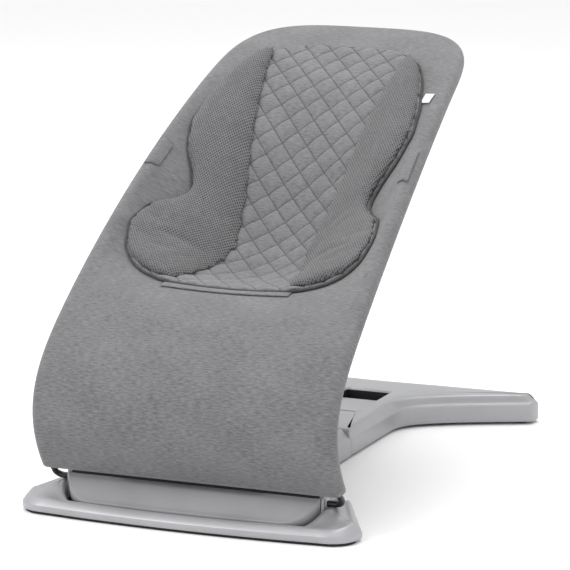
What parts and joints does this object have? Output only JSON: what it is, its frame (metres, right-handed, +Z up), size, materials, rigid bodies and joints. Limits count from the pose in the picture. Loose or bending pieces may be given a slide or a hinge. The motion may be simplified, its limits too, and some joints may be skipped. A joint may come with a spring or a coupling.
{
  "type": "bouncer seat",
  "caption": "Infant bouncer: a curved tube frame carries a fabric hammock with a quilted insert, hinged on a low T-shaped base so that it reclines and bounces.",
  "frame": {"origin": "centre of the object's box at floor level", "axes": "+Z up, the front (foot end) faces -Y, +X to the object's right seen from the front, +Y towards the rear foot"},
  "size_m": [0.46, 0.735, 0.5565],
  "materials": {
    "satin_silver": "satin silver-grey moulding",
    "grey_inlay": "fine matt texture",
    "black_rubber": "matt",
    "black_plastic": "fine texture",
    "grey_plastic": "fine texture",
    "inner_plastic": "plain moulded",
    "bright_steel": "zinc plated",
    "black_wire": "powder coated",
    "frame_tube": "powder coated",
    "grey_jersey": "heathered grey jersey",
    "quilted_jersey": "quilted in small diamonds",
    "spacer_mesh": "three-dimensional spacer mesh",
    "white_tape": "woven tape, blank"
  },
  "bodies": {
    "base": {"front_grip_strip": "black_rubber", "front_foot_tray": "black_plastic", "front_foot_cover": "satin_silver", "front_screws": "bright_steel", "foot_inlay": "grey_inlay", "pivot_beam": "black_plastic", "shoe_pin": "bright_steel", "pivot_cap_left": "satin_silver", "pivot_cap_right": "satin_silver", "pivot_bush_left": "inner_plastic", "pivot_bush_right": "inner_plastic", "front_spine_cover": "satin_silver", "front_spine_tray": "black_plastic", "rear_foot_cover": "satin_silver", "rear_foot_tray": "black_plastic", "rear_screws": "bright_steel", "rear_grip_pads": "black_rubber", "paddle_well": "black_plastic", "paddle_pin": "bright_steel"},
    "brake_hub": {"brake_hub_left": "bright_steel", "brake_hub_right": "bright_steel", "hub_shaft": "bright_steel"},
    "seat": {"lower_wire_left": "black_wire", "lower_wire_right": "black_wire", "tube_plug_left": "inner_plastic", "tube_plug_right": "inner_plastic", "side_tube_left": "frame_tube", "side_tube_right": "frame_tube", "tube_joiner_left": "inner_plastic", "tube_joiner_right": "inner_plastic", "top_tube": "frame_tube", "hem_rod": "black_wire", "seat_cover": "grey_jersey", "quilted_insert": "quilted_jersey", "bolster_left": "spacer_mesh", "bolster_right": "spacer_mesh", "toy_patch_left": "grey_jersey", "toy_patch_right": "grey_jersey", "insert_band": "grey_jersey", "blank_label": "white_tape"},
    "paddle": {"release_paddle": "grey_plastic"},
    "strap": {"pull_strap": "inner_plastic"},
    "shoe_left": {"brake_shoe_left": "inner_plastic"},
    "shoe_right": {"brake_shoe_right": "inner_plastic"},
    "latch": {"spine_latch": "black_plastic"}
  },
  "joints": [
    {"name": "recline", "type": "hinge", "parent": "base", "child": "brake_hub", "pos_m": [0, -0.2935, 0.038], "axis": [1, 0, 0], "range_deg": [-34, 0]},
    {"name": "bounce", "type": "hinge", "parent": "brake_hub", "child": "seat", "pos_m": [0, -0.2935, 0.038], "axis": [1, 0, 0], "range_deg": [-4.5, 4], "stiffness_Nm_per_rad": 130, "springref_deg": 1.72},
    {"name": "paddle_lift", "type": "hinge", "parent": "base", "child": "paddle", "pos_m": [0, 0.1725, 0.034], "axis": [1, 0, 0], "range_deg": [0, 12], "stiffness_Nm_per_rad": 0.5, "springref_deg": -11.46},
    {"name": "strap_pull", "type": "slide", "parent": "base", "child": "strap", "axis": [0, 1, 0], "range_m": [0, 0.0026]},
    {"name": "shoe_left_release", "type": "hinge", "parent": "base", "child": "shoe_left", "pos_m": [-0.141, -0.2705, 0.024], "axis": [1, 0, 0], "range_deg": [-11.5, 0]},
    {"name": "shoe_right_release", "type": "hinge", "parent": "base", "child": "shoe_right", "pos_m": [0.141, -0.2705, 0.024], "axis": [1, 0, 0], "range_deg": [-11.5, 0]},
    {"name": "latch_press", "type": "slide", "parent": "base", "child": "latch", "axis": [-0.7071, 0, -0.7071], "range_m": [0, 0.003], "stiffness_N_per_m": 300, "springref_m": -0.001}
  ],
  "couplings": [
    {"joint": "strap_pull", "follows": "paddle_lift", "m_per_rad": 0.012},
    {"joint": "shoe_left_release", "follows": "paddle_lift", "ratio": -0.923},
    {"joint": "shoe_right_release", "follows": "paddle_lift", "ratio": -0.923}
  ]
}
